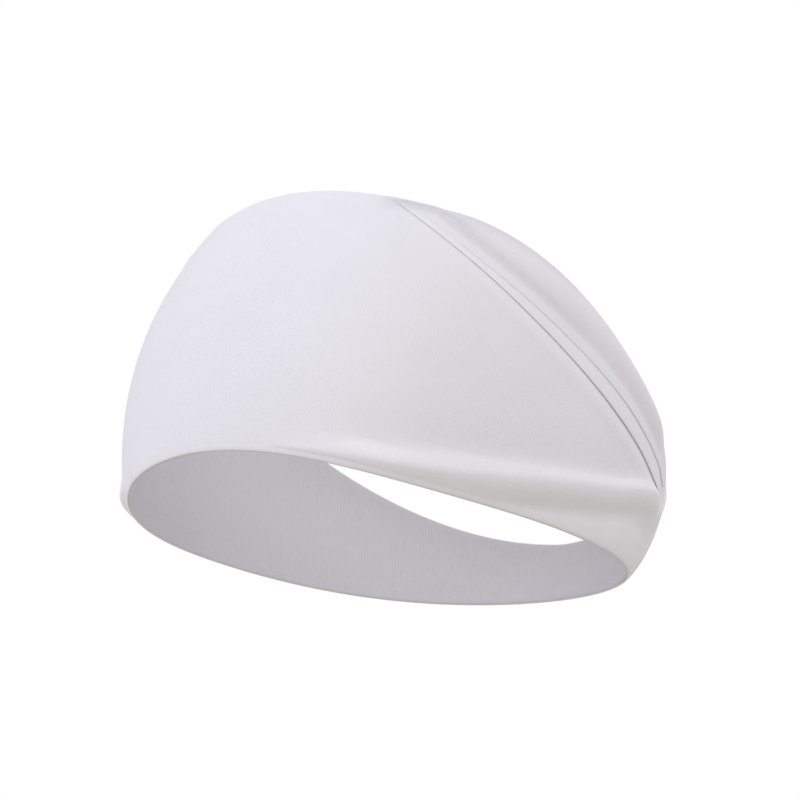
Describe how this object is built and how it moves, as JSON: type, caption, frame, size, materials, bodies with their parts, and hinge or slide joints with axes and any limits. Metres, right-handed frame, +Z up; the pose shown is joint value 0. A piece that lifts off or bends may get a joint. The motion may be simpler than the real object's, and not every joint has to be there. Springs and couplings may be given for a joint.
{
  "type": "sports headband",
  "caption": "Wide stretch headband: pleated front panel and narrow back band over a ribbed lining.",
  "frame": {"origin": "middle of the band's own outline, on the surface that its lower edge stands on", "axes": "+Z up through the head opening, -Y towards the forehead, +X towards the wearer's left ear"},
  "size_m": [0.1872, 0.1934, 0.1096],
  "materials": {
    "outer_knit": "smooth white stretch knit, soft and matt",
    "rib_lining": "fine upright rib knit, matt",
    "elastic_webbing": "woven elastic tape",
    "sewing_thread": "spun polyester thread"
  },
  "bodies": {
    "root": {"front_panel": "outer_knit", "left_over_pleat": "outer_knit", "left_under_pleat": "outer_knit", "right_over_pleat": "outer_knit", "right_under_pleat": "outer_knit", "back_band": "outer_knit", "lining": "rib_lining", "back_elastic": "elastic_webbing", "upper_edge_allowance": "outer_knit", "lower_edge_allowance": "outer_knit", "left_join_allowance": "outer_knit", "right_join_allowance": "outer_knit", "lining_seam_allowance": "rib_lining", "upper_edge_stitches": "sewing_thread", "lower_edge_stitches": "sewing_thread", "left_join_stitches": "sewing_thread", "right_join_stitches": "sewing_thread", "elastic_stitches": "sewing_thread"}
  },
  "joints": []
}
